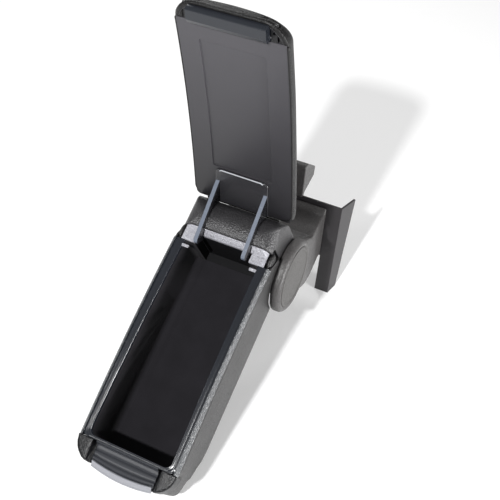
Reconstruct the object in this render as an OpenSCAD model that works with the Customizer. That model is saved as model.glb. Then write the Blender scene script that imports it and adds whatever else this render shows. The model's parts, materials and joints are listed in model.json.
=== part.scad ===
// Car centre armrest: a tilting storage box with a padded lid on a console bracket.
// The part stands as it would on a floor: on the two legs of the bracket and the front edge of the box.
// Z is up, the box points towards -Y, and X is across. The box, lid and latch are drawn in the box's own
// frame, which has its origin on the hub axle and its floor level, and are then tilted about that axle.

/* [Box] */
// Length of the rim from its rear line to the front seam
box_len = 266; // [220:1:300]
// Width of the rim at its rear end, seam to seam
rim_w_rear = 125; // [118:0.5:126]
// Width of the rim at its front end, seam to seam
rim_w_front = 124; // [112:0.5:126]
// Height from the underside of the box to the rim
box_h = 99; // [90:1:108]
// Rise of the rim in the middle of its length
rim_crown = 5; // [1:0.5:8]
// How far the grained edge strip stands out past the rim seam
edge_out = 4.5; // [3:0.5:6]
// How far the grained edge strip drops below the rim
edge_drop = 5; // [4:0.5:8]
// Slope inwards of each side wall from top to bottom
side_draft = 6; // [3:0.5:9]
// Thickness of the leatherette wrap with its backing
wrap_t = 3.5; // [2.5:0.5:5]
// Radius of the long lower edges
base_r = 12; // [6:1:16]

/* [Interior] */
// Width of the mouth at its rear end
mouth_w_rear = 101; // [92:0.5:103]
// Width of the mouth at its front end
mouth_w_front = 109; // [98:0.5:110]
// Depth of the lined interior
mouth_depth = 66; // [50:1:72]
// Width of the rim between the front of the mouth and the front seam
front_rim = 4; // [3:0.5:8]
// Slope inwards of each inner wall from top to bottom
inner_draft = 3.3; // [1:0.1:5]
// Wall of the tub
tub_t = 2.5; // [2:0.5:3.5]
// Thickness of the flocked lining
lining_t = 0.8; // [0.6:0.1:1.2]
// Thickness of the bezel
bezel_t = 4; // [3:0.5:6]

/* [Hub] */
// Tilt of the box, front down
box_tilt = 27; // [18:1:32]
// Height of the rim above the hub axle
rim_above_hub = 85; // [82:0.5:90]
// Distance of the hub axle behind the rear line of the rim
hub_behind_rim = 25; // [22:0.5:30]
// Outer radius of an ear
ear_r = 50; // [46:0.5:52]
// Thickness of an ear
ear_t = 13.7; // [10:0.1:16]
// Distance between the inner faces of the ears
ear_gap = 125; // [122:0.5:128]
// Radius of the cap disc in an ear
cap_r = 41.8; // [34:0.1:43]
// Radius of the hub axle
axle_r = 8; // [5:0.5:9]
// Wall of a hub bush
bush_t = 2.5; // [1.5:0.5:3.5]

/* [Stem and bracket] */
// Distance from the hub axle back to the front of the stem
stem_gap = 79; // [78:0.5:84]
// Height of the stem at its front
stem_h = 76; // [66:1:80]
// Width of the stem at the plate
stem_w = 120; // [104:1:124]
// Distance from the hub axle back to the foot of the plate
foot_back = 127; // [122:1:140]
// Lean of the plate, top to the back
plate_lean = 9.2; // [5:0.1:12]
// Height of the plate along its own slope
plate_h = 150; // [144:1:160]
// Width of the plate between its bent edges
plate_w = 162; // [150:1:180]
// Thickness of the plate
plate_t = 3; // [2:0.5:4]
// Width of the gap between the legs
leg_gap = 120; // [100:1:128]
// Height of the gap between the legs along the slope
leg_h = 62; // [50:1:64]
// Depth of a side flange at the floor
flange_low = 18; // [12:1:26]
// Depth of a side flange at the top
flange_high = 35; // [24:1:40]
// Outward splay of a side flange
flange_splay = 12; // [6:1:18]
// Width of the hook block
hook_w = 42; // [30:1:60]
// Height of the hook block above the plate
hook_rise = 51; // [40:1:56]
// Reach of the hook block behind the plate
hook_reach = 38; // [28:1:44]

/* [Lid] */
// Width of the underside panel at the hinge end
lid_w_rear = 131; // [124:0.5:134]
// Width of the underside panel at the free end
lid_w_front = 127; // [118:0.5:130]
// Thickness of the lid over all
lid_t = 26; // [20:1:32]
// Thickness of the grooved panel
panel_t = 4; // [3:0.5:5]
// Overhang of the padded cover past the panel on each side
pad_over = 1.5; // [1:0.1:2.5]
// Gap between the closed lid and the rim
lid_gap = 2.2; // [2:0.1:3.5]
// Angle from closed to the open stop
lid_open = 108.9; // [100:0.1:112]
// Distance of the lid pivot behind the hub axle
pivot_back = 9.5; // [8:0.5:14]
// Depth of the lid pivot below the rim
pivot_down = 21.8; // [17:0.5:24]
// Distance between the two grooves of the panel
field_w = 78; // [60:1:90]
// Depth of a groove
field_deep = 1.6; // [1:0.1:2]

/* [Lid arms] */
// Distance between the middles of the two arms
arm_gap = 65; // [56:1:72]
// Thickness of an arm
arm_t = 5; // [4:0.5:7]
// Thickness of the web behind the bar of each arm
arm_web_t = 2.6; // [2:0.2:3.4]
// Radius of the elbow about the lid pivot
elbow_r = 48.5; // [46:0.5:50]
// Radius of the hinge pin
pin_r = 3; // [2:0.25:4]
// Width of the hinge plate
hinge_plate_w = 71; // [70:0.5:74]
// Thickness of the hinge plate
hinge_plate_t = 2.5; // [2:0.5:4]
// Length of the hinge plate along the lid
hinge_plate_l = 57; // [48:1:64]

/* [Latch] */
// Width of the latch bar
latch_w = 91; // [70:1:100]
// Length of the latch bar along the lid
latch_l = 21; // [16:0.5:24]
// How far the latch bar stands out of the lid
latch_proud = 9.6; // [7:0.1:11]
// Radius of the latch pin
latch_pin_r = 1.5; // [1:0.25:2]
// Width of the catch plate
catch_w = 84; // [70:1:92]
// Length of the front cap in front of the seam
cap_len = 28; // [26:0.5:34]

/* [Hidden] */
$fn = 96;
// Running clearance of a pin or bush
run_fit = 0.08;
// Clearance between two bodies that pass each other
gap = 0.6;
// Overshoot of a cut past the face it goes through
over = 1;
far = 400;

// Planes and points of the box frame, origin on the hub axle
rim_z = rim_above_hub;
floor_z = rim_above_hub - box_h;
rear_y = -hub_behind_rim;
front_y = rear_y - box_len;
pivot = [pivot_back, rim_above_hub - pivot_down];
mouth_front_y = front_y + front_rim;
mouth_floor_z = rim_z - mouth_depth;

// Knuckle between the ears: its hump is a roll about the lid pivot, which the rear end of the lid passes over
knuckle_w = ear_gap - 2 * gap;
knuckle_r = ear_r - 2;
roll_r = 31.8;
roll_top = pivot.y + roll_r;
roll_start = 118;
roll_low = 180 - asin(pivot_down / roll_r);
hump_t = 4;
hump_side_r = 20;
recess_depth = 12;
recess_y = rear_y + recess_depth;
recess_w = arm_gap + arm_t + 5;
elbow_a = 135.5;
elbow_round = 6;
chamfer_top_y = pivot.x + roll_r * cos(roll_start);
wrap_rear_y = 2;
slot_w = arm_t + 2 * gap;
slot_r = elbow_r + 2 * gap;
eye_r = pin_r + 4.5;

crown_steps = 16;
trim_w = 114;
trim_relief = 0.2;
trim_side_r = 11.5;
cheek_half = 57;
cheek_z = 2;
cheek_lean = 6.3;
cheek_turn = 7;

// Lid, drawn shut
lid_rear_y = recess_y - 2.5;
lid_front_y = front_y - cap_len + 3;
lid_under = lid_gap;
latch_rear_y = front_y - 1.5;
latch_front_y = latch_rear_y - latch_l;
latch_gap = 0.8;
latch_travel = 8;
latch_rise = latch_l * sin(latch_travel) + 2 * latch_gap;
panel_front_y = latch_rear_y + latch_gap;
latch_axis = [latch_rear_y - latch_pin_r - 1.5, rim_z + lid_under + latch_pin_r + 0.7];
latch_top = latch_axis.y + latch_pin_r + 0.3;
room_top = latch_top + latch_l * sin(latch_travel) + latch_gap;
nose_l = 28;
nose_h = 8.5;
nose_at = [22, 16, 11, 7, 4, 2, 0.8, 0.2];
field_end = 23;
corner_r = 27;
pad_corner_r = 14;

// Stem and plate, measured from the hub axle without the tilt of the box
plate_foot_y = foot_back;
stem_top_drop = 13;
stem_w_ear = ear_gap + 2 * ear_t - 8;
hook_front = 4;
hook_drop = 25;

// Standing height: the lowest point of the tilted front edge lies on the floor
cap_drop = 24;
front_base_r = 14;
front_profile = [[front_y, floor_z, 0], [front_y - cap_len + 6, floor_z, front_base_r],
    [front_y - cap_len + 2, rim_z - cap_drop, 0], [front_y, rim_z - cap_drop, 0]];
hub_z = -min([for (p = fillet(front_profile)) p.x * sin(box_tilt) + p.y * cos(box_tilt)]);

// Fore and aft place: the whole part is centred on the origin
lip_tip = [front_y - cap_len - 6, rim_z - 12];
plate_top = [plate_foot_y + plate_h * sin(plate_lean), plate_h * cos(plate_lean)];
front_reach = lip_tip.x * cos(box_tilt) - lip_tip.y * sin(box_tilt);
rear_reach = plate_top.x + hook_reach + plate_t;
hub_y = -(front_reach + rear_reach) / 2;

function unit(v) = v / norm(v);
function arc(c, r, from, to, n = 12) =
    [for (i = [0:n]) let (a = from + (to - from) * i / n) c + r * [cos(a), sin(a)]];
function reversed(v) = [for (i = [len(v) - 1:-1:0]) v[i]];

// Rounds the corners of an outline whose points carry their corner radius as third value
function fillet(pts, n = 6) = [for (i = [0:len(pts) - 1])
    let (
        b = [pts[i].x, pts[i].y],
        before = pts[(i + len(pts) - 1) % len(pts)],
        after = pts[(i + 1) % len(pts)],
        u = unit([before.x, before.y] - b),
        v = unit([after.x, after.y] - b),
        half = acos(u * v) / 2,
        r = pts[i].z,
        c = b + unit(u + v) * r / sin(half),
        p0 = b + u * r / tan(half) - c,
        p1 = b + v * r / tan(half) - c,
        a0 = atan2(p0.y, p0.x),
        turn = (atan2(p1.y, p1.x) - a0 + 540) % 360 - 180
    )
    each r == 0 ? [b] : arc(c, r, a0, a0 + turn, n)];

// Rise of the rim above its ends at a place along its length, in straight steps that all pieces share
function crown_at(i) = rim_crown * 4 * i * (crown_steps - i) / (crown_steps * crown_steps);
function crown(y) =
    let (
        t = min(1, max(0, (rear_y - y) / box_len)) * crown_steps,
        i = min(crown_steps - 1, floor(t))
    )
    crown_at(i) + (crown_at(i + 1) - crown_at(i)) * (t - i);
function crown_line(y0, y1, dz) = [
    for (y = concat([y0], [for (i = [0:crown_steps]) let (y = rear_y - box_len * i / crown_steps)
        if (y < y0 - 0.01 && y > y1 + 0.01) y], [y1])) [y, rim_z + crown(y) + dz]];
// Half width at a place along the box of something that tapers from rear to front
function half_w(y, w_rear, w_front) = (w_rear + (w_front - w_rear) * (rear_y - y) / box_len) / 2;

module along_x(w) {
    rotate([90, 0, 90]) linear_extrude(w, center = true) children();
}
module along_y() {
    rotate([90, 0, 0]) linear_extrude(2 * far, center = true) children();
}
module along_z() {
    linear_extrude(2 * far, center = true) children();
}
module box_frame() {
    translate([0, hub_y, hub_z]) rotate([box_tilt, 0, 0]) children();
}
module hub_frame() {
    translate([0, hub_y, hub_z]) children();
}
module plate_frame() {
    translate([0, hub_y + plate_foot_y, 0]) rotate([-plate_lean, 0, 0]) children();
}
module about_pivot(a) {
    translate([0, pivot.x, pivot.y]) rotate([a, 0, 0]) translate([0, -pivot.x, -pivot.y]) children();
}
// The lid as photographed, turned back about its pivot from the shut place
module lid_frame() {
    box_frame() about_pivot(-lid_open) children();
}
module plan(w_rear, w_front, y0, y1, r_rear = 0, r_front = 0) {
    h0 = half_w(y0, w_rear, w_front);
    h1 = half_w(y1, w_rear, w_front);
    along_z() polygon(fillet([[-h0, y0, r_rear], [h0, y0, r_rear], [h1, y1, r_front], [-h1, y1, r_front]]));
}
module section(w_top, draft, z_top, z_bottom, r) {
    slope = draft / (rim_z - floor_z);
    h0 = w_top / 2 - (rim_z - z_top) * slope;
    h1 = w_top / 2 - (rim_z - z_bottom) * slope;
    along_y() polygon(fillet([[-h0, z_top, 0], [h0, z_top, 0], [h1, z_bottom, r], [-h1, z_bottom, r]]));
}
module crown_band(y0, y1, dz0, dz1, w) {
    along_x(w) polygon(concat(crown_line(y0, y1, dz0), reversed(crown_line(y0, y1, dz1))));
}
// Skin through a list of rings that have the same number of points
module loft(rings) {
    n = len(rings[0]);
    last = len(rings) - 1;
    polyhedron(
        points = [for (ring = rings) each ring],
        faces = concat(
            [[for (i = [n - 1:-1:0]) i]],
            [[for (i = [0:n - 1]) last * n + i]],
            [for (s = [0:last - 1], i = [0:n - 1]) let (j = (i + 1) % n) [s * n + i, s * n + j, (s + 1) * n + i]],
            [for (s = [0:last - 1], i = [0:n - 1]) let (j = (i + 1) % n)
                [(s + 1) * n + i, s * n + j, (s + 1) * n + j]]
        )
    );
}
module pin_x(c, r, x0, x1) {
    translate([x0, c.x, c.y]) rotate([0, 90, 0]) cylinder(r = r, h = x1 - x0);
}

// Folded sheet: plate, two legs and the side flanges
module flange() {
    translate([plate_w / 2, 0, 0]) rotate([0, 0, -flange_splay]) translate([-plate_t / 2, 0, 0])
        along_x(plate_t) polygon([[0, -flange_low], [flange_low, -flange_low], [flange_high, plate_h], [0, plate_h]]);
}
module bracket_plate() color([0.22, 0.21, 0.22]) intersection() {
    plate_frame() {
        difference() {
            translate([-plate_w / 2, 0, -flange_low]) cube([plate_w, plate_t, plate_h + flange_low]);
            translate([-leg_gap / 2, -over, -flange_low - over])
                cube([leg_gap, plate_t + 2 * over, leg_h + flange_low + over]);
        }
        flange();
        mirror([1, 0, 0]) flange();
    }
    translate([-far, -far, 0]) cube(2 * far);
}
module hook_block() color([0.2, 0.2, 0.21]) translate([0, hub_y, 0]) along_x(hook_w) polygon(fillet([
    [plate_top.x - plate_t, plate_top.y, 0],
    [plate_top.x + hook_front, plate_top.y + hook_rise, 4],
    [plate_top.x + hook_front + 8, plate_top.y + hook_rise, 4],
    [plate_top.x + hook_reach + plate_t, plate_top.y + hook_rise - hook_drop, 2],
    [plate_top.x + hook_reach, plate_top.y + hook_rise - hook_drop - 14, 2],
    [plate_top.x + 2 * plate_t, plate_top.y + 4, 3],
    [plate_top.x + plate_t, plate_top.y, 0]
]));

// Stem with its two ears: one moulding that wraps the knuckle from behind
function plate_face_y(z) = plate_foot_y + (z + hub_z) * tan(plate_lean);
stem_low_z = leg_h * cos(plate_lean) - hub_z + 1;
module stem_side() {
    low_y = plate_face_y(stem_low_z);
    top_y = plate_face_y(-stem_top_drop);
    polygon(fillet([
        [ear_r * cos(neck_top_a), ear_r * sin(neck_top_a), 0],
        [stem_neck, 0, 20],
        [top_y - 10, -stem_top_drop, 10],
        [top_y, -stem_top_drop + 8, 0],
        [low_y, stem_low_z, 0],
        [low_y - 10, stem_low_z + 2, 8],
        [stem_neck, -stem_h, 20],
        [ear_r * cos(neck_low_a), ear_r * sin(neck_low_a), 0],
        [0, 0, 0]
    ]));
}
module ear() {
    difference() {
        translate([ear_gap / 2, 0, 0]) rotate([90, 0, 90]) {
            linear_extrude(ear_t) circle(ear_r - ear_edge_r);
            linear_extrude(ear_t - ear_edge_r) circle(ear_r);
            translate([0, 0, ear_t - ear_edge_r]) rotate_extrude() translate([ear_r - ear_edge_r, 0])
                intersection() {
                    circle(ear_edge_r);
                    square(ear_edge_r);
                }
        }
        pin_x([0, 0], cap_r + gap / 2, ear_gap / 2 + ear_t - cap_inset, ear_gap / 2 + ear_t + over);
        pin_x([0, 0], axle_r, 0, ear_gap / 2 + ear_t + over);
    }
}
module stem_taper() {
    along_z() polygon([[-stem_w_ear / 2, -far], [stem_w_ear / 2, -far], [stem_w_ear / 2, ear_r],
        [stem_w / 2, plate_foot_y], [stem_w / 2, far], [-stem_w / 2, far], [-stem_w / 2, plate_foot_y],
        [-stem_w_ear / 2, ear_r]]);
}
module stem() color([0.16, 0.16, 0.17]) hub_frame() difference() {
    union() {
        difference() {
            intersection() {
                along_x(2 * far) stem_side();
                stem_taper();
                along_y() polygon(fillet([[-stem_w_ear / 2, ear_r, 0], [stem_w_ear / 2, ear_r, 0],
                    [stem_w_ear / 2, stem_low_z - 10, 24], [-stem_w_ear / 2, stem_low_z - 10, 24]]));
            }
            pin_x([0, 0], knuckle_r + knuckle_clear, -ear_gap / 2, ear_gap / 2);
            translate([-ear_gap / 2, -far, -over]) cube([ear_gap, far + stem_neck, far]);
            for (side = [0, 1]) mirror([side, 0, 0]) pin_x([0, 0], ear_r - 4, ear_gap / 2 - over, far);
        }
        ear();
        mirror([1, 0, 0]) ear();
    }
}
ear_edge_r = 5.5;
cap_inset = 3;
neck_top_a = 42;
neck_low_a = -72;
knuckle_clear = 4;
stem_neck = stem_gap;
module cap_disc_right() color([0.5, 0.49, 0.48]) hub_frame() translate([ear_gap / 2 + ear_t - cap_inset, 0, 0])
    rotate([0, 90, 0]) rotate_extrude() polygon([[0, 0], [cap_r, 0], [cap_r, 2.4], [cap_r - 0.8, 3.2],
        [cap_r - 3.5, 3.2], [cap_r - 4.2, 2.6], [cap_r - 7, 2.6], [0, 3.4]]);
module cap_disc_left() mirror([1, 0, 0]) cap_disc_right();
module hub_axle() color([0.6, 0.6, 0.62]) hub_frame()
    pin_x([0, 0], axle_r, -ear_gap / 2 - ear_t + cap_inset, ear_gap / 2 + ear_t - cap_inset);
module stem_screw_right() color([0.5, 0.5, 0.52]) plate_frame()
    translate([stem_screw_x, plate_t, stem_screw_h]) rotate([-90, 0, 0]) {
        cylinder(r = 6, h = 3);
        difference() {
            translate([0, 0, 3]) cylinder(r = 4, h = 2.4);
            translate([0, 0, 3.6]) cylinder(r = 2.3, h = 3, $fn = 6);
        }
    }
module stem_screw_left() mirror([1, 0, 0]) stem_screw_right();
stem_screw_x = 38;
stem_screw_h = 100;

// Box: tub, lining, wrap and rim
module mouth(grow, y_front = mouth_front_y) {
    intersection() {
        plan(mouth_w_rear + 2 * grow, mouth_w_front + 2 * grow, rear_y + grow, y_front - grow, 4, 8);
        section(mouth_w_front + 2 * grow, inner_draft * (rim_z - floor_z) / mouth_depth, rim_z + 20,
            mouth_floor_z - grow, 6);
    }
}
module recess(grow) {
    translate([-recess_w / 2 - grow, rear_y - over, mouth_floor_z - grow])
        cube([recess_w + 2 * grow, recess_depth + over + grow, 2 * mouth_depth]);
}
module under_bezel() {
    crown_band(rear_y + tub_t, front_y, -bezel_t, -box_h - rim_crown, far);
}
module tub() color([0.1, 0.1, 0.11]) box_frame() difference() {
    intersection() {
        mouth(lining_t + tub_t, mouth_front_y);
        under_bezel();
        along_x(far) polygon([[rear_y + tub_t, rim_z + 10], [rear_y + tub_t, mouth_floor_z - tub_t - lining_t],
            [front_y, mouth_floor_z - tub_t - lining_t], [front_y, rim_z + 10]]);
    }
    mouth(lining_t);
    recess(0);
}
module tub_lining() color([0.09, 0.09, 0.1]) box_frame() difference() {
    intersection() {
        mouth(lining_t);
        under_bezel();
    }
    mouth(0);
    recess(0);
}
module wrap_body(inset, y_rear, y_front) {
    difference() {
        wrap_block(inset, y_rear, y_front);
        cheeks(inset);
    }
}
// Lower front corners of the box draw in towards the front
module cheeks(inset) {
    for (side = [0, 1]) mirror([side, 0, 0])
        translate([cheek_half - inset, front_y, cheek_z]) rotate([0, cheek_lean, -cheek_turn])
            translate([0, -far, -far]) cube([far, 2 * far, 2 * far]);
}
module wrap_block(inset, y_rear, y_front) {
    intersection() {
        along_x(far) polygon(concat(crown_line(y_rear, y_front, -edge_drop),
            [[y_front, floor_z + inset], [y_rear, floor_z + inset]]));
        plan(rim_w_rear + 2 * edge_out - 2 * inset, rim_w_front + 2 * edge_out - 2 * inset, y_rear, y_front);
        section(rim_w_rear + 2 * edge_out - 2 * inset, side_draft, rim_z + 20, floor_z + inset,
            max(1, base_r - inset));
    }
}
module side_wrap() color([0.13, 0.13, 0.14]) box_frame() difference() {
    wrap_body(0, wrap_rear_y, front_y);
    difference() {
        translate([0, 0, over]) wrap_body(wrap_t, wrap_rear_y + over, front_y - over);
        translate([-far / 2, -far, floor_z - far]) cube([far, 2 * far, far + wrap_t]);
    }
    for (side = [0, 1]) mirror([side, 0, 0]) pin_x([0, 0], ear_r + 2 * gap, ear_gap / 2 - gap, far);
    pin_x([0, 0], knuckle_r + gap / 4, -far, far);
    for (side = [0, 1]) mirror([side, 0, 0])
        translate([ear_gap / 2 - gap, -wrap_reach, -far]) cube([far, far, 2 * far]);
}
wrap_reach = 2;
module front_wrap() color([0.13, 0.13, 0.14]) box_frame() difference() {
    intersection() {
        along_x(far) polygon(fillet(front_profile));
        plan(rim_w_rear + 2 * edge_out, rim_w_front + 2 * edge_out, front_y, front_y - cap_len, 0, corner_r);
        section(rim_w_rear + 2 * edge_out, side_draft, rim_z + 20, floor_z, base_r);
    }
    cheeks(0);
}
module bezel() color([0.12, 0.13, 0.16]) box_frame() difference() {
    intersection() {
        crown_band(rear_y, front_y, 0, -bezel_t, far);
        plan(rim_w_rear, rim_w_front, rear_y, front_y);
    }
    plan(mouth_w_rear, mouth_w_front, rear_y + over, mouth_front_y, 0, 8);
}
// Grained strip that runs along each side of the rim and follows its rise
module edge_right() color([0.3, 0.31, 0.33]) box_frame() loft([
    for (i = [0:crown_steps])
        let (
            y = rear_y - box_len * i / crown_steps,
            x = half_w(y, rim_w_rear, rim_w_front),
            z = rim_z + crown(y)
        )
        [[x, y, z - edge_drop], [x + edge_out, y, z - edge_drop], [x + edge_out, y, z - edge_drop + 1.2],
            [x + edge_out * 0.75, y, z - edge_drop * 0.4], [x + 1.6, y, z + 1.1], [x, y, z + 1.4]]
]);
module edge_left() mirror([1, 0, 0]) edge_right();

// Knuckle behind the box
function knuckle_line(inset) = concat(
    arc(pivot, roll_r - inset, roll_start, 0, 16),
    arc([0, 0], knuckle_r - inset, acos((pivot.x + roll_r - inset) / (knuckle_r - inset)),
        -180 - asin((floor_z + inset) / (knuckle_r - inset)), 24)
);
// Slots that the arms swing in, from the open place to the shut place
module arm_slots() {
    edge = eye_r + 2 * gap;
    shut_a = elbow_a + lid_open;
    for (side = [-1, 1]) translate([side * arm_gap / 2, 0, 0]) {
        along_x(slot_w) polygon(concat(
            [pivot + edge * [cos(shut_a + 90), sin(shut_a + 90)], pivot + edge * [cos(elbow_a - 90), sin(elbow_a - 90)]],
            arc(pivot, slot_r, elbow_a - asin(edge / slot_r), shut_a + asin(edge / slot_r), 32)
        ));
        pin_x(pivot, edge, -slot_w / 2, slot_w / 2);
    }
}
module hump_shape(inset) {
    half = knuckle_w / 2 - inset;
    intersection() {
        along_x(2 * half) polygon(concat(knuckle_line(inset), [[rear_y + tub_t, floor_z + inset],
            [rear_y + tub_t, rim_z - edge_drop], [chamfer_top_y, rim_z - edge_drop]]));
        along_y() polygon(fillet([[-half, roll_top - inset, hump_side_r], [half, roll_top - inset, hump_side_r],
            [half, -knuckle_r, 0], [-half, -knuckle_r, 0]]));
    }
}
module hump_pad() color([0.15, 0.15, 0.16]) box_frame() difference() {
    hump_shape(0);
    hump_shape(hump_t);
    translate([-far, -far, -far]) cube([2 * far, far + wrap_rear_y, far + rim_z - edge_drop]);
    translate([-far, -far, -far]) cube([2 * far, far + chamfer_top_y + trim_relief / 2, 2 * far]);
    arm_slots();
    for (side = [0, 1]) mirror([side, 0, 0]) pin_x([0, 0], axle_r + bush_t + 2, knuckle_w / 2 - hump_t - over, far);
}
module knuckle_core() color([0.11, 0.11, 0.12]) box_frame() difference() {
    intersection() {
        hump_shape(hump_t);
        translate([-far, rear_y + tub_t, -far]) cube(2 * far);
    }
    recess(0);
    arm_slots();
    pin_x([0, 0], axle_r + bush_t, -far, far);
    pin_x(pivot, pin_r, -pin_half, pin_half);
    rear_trim_body();
}
pin_half = arm_gap / 2 + arm_t / 2 + 12;
module rear_trim_shape() {
    along_x(trim_w) polygon(concat([[chamfer_top_y, rim_z - bezel_t], [rear_y, rim_z - bezel_t], [rear_y, rim_z]],
        arc(pivot, roll_r - trim_relief, roll_low, roll_start, 6)));
}
// Its two outer corners are rounded, seen along the box
module rear_trim_body() {
    top_z = pivot.y + roll_r * sin(roll_start);
    intersection() {
        rear_trim_shape();
        along_y() polygon(fillet([[-trim_w / 2, top_z, trim_side_r], [trim_w / 2, top_z, trim_side_r],
            [trim_w / 2, floor_z, 0], [-trim_w / 2, floor_z, 0]]));
    }
}
module rear_trim() color([0.75, 0.76, 0.8]) box_frame() difference() {
    rear_trim_body();
    recess(0);
    arm_slots();
}
module bush_right() color([0.82, 0.82, 0.8]) box_frame() difference() {
    pin_x([0, 0], axle_r + bush_t, knuckle_w / 2 - bush_l, knuckle_w / 2);
    pin_x([0, 0], axle_r + run_fit, 0, far);
}
bush_l = 30;
module bush_left() mirror([1, 0, 0]) bush_right();
module hinge_pin() color([0.65, 0.65, 0.67]) box_frame() pin_x(pivot, pin_r, -pin_half, pin_half);

// Front of the box: rounded cap with the catch plate in its middle
module front_cap() color([0.14, 0.14, 0.15]) box_frame() difference() {
    intersection() {
        plan(rim_w_rear + 2 * edge_out, rim_w_front + 2 * edge_out, front_y, front_y - cap_len, 0, corner_r);
        along_x(far) polygon(fillet([[front_y, rim_z - cap_drop, 0], [front_y - cap_len + 2, rim_z - cap_drop, 0],
            [front_y - cap_len, rim_z - 4, 3], [front_y, rim_z + 0.6, 0]]));
    }
    catch_bed();
}
module catch_bed() {
    for (cut = [[latch_w + 2, catch_drop], [catch_w, catch_drop + catch_t]])
        translate([-cut[0] / 2, front_y - cap_len - over, rim_z - cut[1]])
            cube([cut[0], cap_len + 2 * over, far]);
}
catch_drop = 12;
catch_t = 3;
module front_catch() color([0.45, 0.46, 0.48]) box_frame() difference() {
    along_x(catch_w - 2 * run_fit) polygon(fillet([
        [front_y, rim_z - 0.5, 0],
        [front_y, rim_z - catch_drop - catch_t, 0],
        [front_y - cap_len, rim_z - catch_drop - catch_t, 0],
        [lip_tip.x, rim_z - catch_drop - 5, 1],
        [lip_tip.x, lip_tip.y, 1],
        [front_y - cap_len + 2, rim_z - catch_drop + 3, 1.5],
        [latch_front_y - 1.5, rim_z - catch_drop, 1],
        [front_y - 1, rim_z - catch_drop, 0],
        [front_y - 1, rim_z - 0.5, 0]
    ]));
    // The lip bows forward in the middle: its two ends are cut back along a wide arc
    lip_bow_cut();
}
module lip_bow_cut() {
    bow_r = catch_w * catch_w / (8 * lip_bow) + lip_bow / 2;
    difference() {
        translate([-far / 2, lip_tip.x - over, -far / 2]) cube([far, lip_bow + over, far]);
        translate([0, lip_tip.x + bow_r, -far]) cylinder(r = bow_r, h = 2 * far, $fn = 180);
    }
}
lip_bow = 5;

// Lid, drawn shut on the box
module lid_panel() color([0.36, 0.36, 0.38]) lid_frame() difference() {
    intersection() {
        crown_band(lid_rear_y, panel_front_y, lid_under, lid_under + panel_t, far);
        plan(lid_w_rear, lid_w_front, lid_rear_y, panel_front_y, 6, 0);
    }
    // Sunk field in the middle, from the hinge plate to near the latch
    crown_band(lid_rear_y - hinge_plate_l - 2, front_y + field_end, lid_under - over, lid_under + field_deep, field_w);
}
// One cross-section of the padded cover: flat below, rounded shoulders and a domed top
function pad_ring(y, drop, w_in) =
    let (
        h = half_w(y, lid_w_rear, lid_w_front) + pad_over - w_in,
        z0 = rim_z + crown(y) + lid_under,
        z1 = z0 + lid_t - pad_dome - drop,
        r = min(pad_corner_r, z1 - z0 - 1.5),
        side = [for (a = [0:15:90]) [h - r + r * cos(a), z1 - r + r * sin(a)]],
        top = [for (k = [2:-1:0]) [(h - r) * k / 3, z1]],
        right = concat([[h - 0.9, z0], [h, z0 + 0.9]], side, top),
        left = [for (q = reversed(right)) if (q.x > 0) [-q.x, q.y]]
    )
    [for (p = concat(right, left)) [p.x, y, p.y + (p.y > z0 + 2 ? pad_dome * (1 - pow(p.x / h, 2)) : 0)]];
pad_dome = 2.5;
pad_steps = 14;
end_steps = 6;
end_r = 6;
module lid_pad() color([0.14, 0.14, 0.15]) lid_frame() difference() {
    loft(concat(
        [for (a = [0:22.5:90]) pad_ring(lid_rear_y - end_r * (1 - cos(a)), end_r * (1 - sin(a)), 4 * (1 - sin(a)))],
        [for (i = [1:pad_steps])
            pad_ring(lid_rear_y - end_r + (lid_front_y + nose_l - lid_rear_y + end_r) * i / pad_steps, 0, 0)],
        [for (s = nose_at)
            let (h = half_w(lid_front_y + s, lid_w_rear, lid_w_front) + pad_over)
            pad_ring(lid_front_y + s, (lid_t - pad_dome - nose_h) * pow(1 - s / nose_l, 1.3),
                h * (1 - pow(1 - pow(1 - s / nose_l, 2), 1 / 4.5)))]
    ));
    // Bed of the panel in the underside
    intersection() {
        crown_band(lid_rear_y + 10, panel_front_y, lid_under - over, lid_under + panel_t, far);
        plan(lid_w_rear, lid_w_front, lid_rear_y + 10, panel_front_y);
    }
    // Room for the latch bar to be pressed
    along_x(latch_w + 2 * corner_piece_w + 2 * latch_gap) polygon([[panel_front_y + over, rim_z - 10],
        [panel_front_y + over, room_top], [latch_front_y - latch_gap, room_top],
        [latch_front_y - latch_gap, rim_z - 10]]);
}
corner_piece_w = 8;
module hinge_plate_shape() intersection() {
    crown_band(lid_rear_y - 1, lid_rear_y - hinge_plate_l, lid_under, lid_under - hinge_plate_t, hinge_plate_w);
    plan(hinge_plate_w, hinge_plate_w, lid_rear_y - 1, lid_rear_y - hinge_plate_l, 3, 6);
}
module hinge_plate() color([0.2, 0.21, 0.23]) lid_frame() hinge_plate_shape();
// Arm outline in the place of the open lid: eye on the pin, elbow, and a web that spreads to the hinge plate
function turned(p, a) = pivot + [cos(a) * (p.x - pivot.x) - sin(a) * (p.y - pivot.y),
    sin(a) * (p.x - pivot.x) + cos(a) * (p.y - pivot.y)];
elbow = pivot + (elbow_r - elbow_round) * [cos(elbow_a), sin(elbow_a)];
web_low = turned([lid_rear_y - 3, rim_z + lid_under - hinge_plate_t], -lid_open);
web_high = turned([lid_rear_y - 38, rim_z + crown(lid_rear_y - 38) + lid_under - hinge_plate_t], -lid_open);
arm_clear = 1.6;
module arm_outline() {
    inner_r = roll_r + arm_clear;
    low = web_low - pivot;
    polygon(concat(
        arc(pivot, eye_r, elbow_a + 90, elbow_a + 270, 24),
        arc(pivot, inner_r, elbow_a - asin(eye_r / inner_r), atan2(low.y, low.x), 12),
        [web_low, web_high],
        arc(elbow, elbow_round, 104.7, elbow_a + 90, 8)
    ));
}
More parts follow.
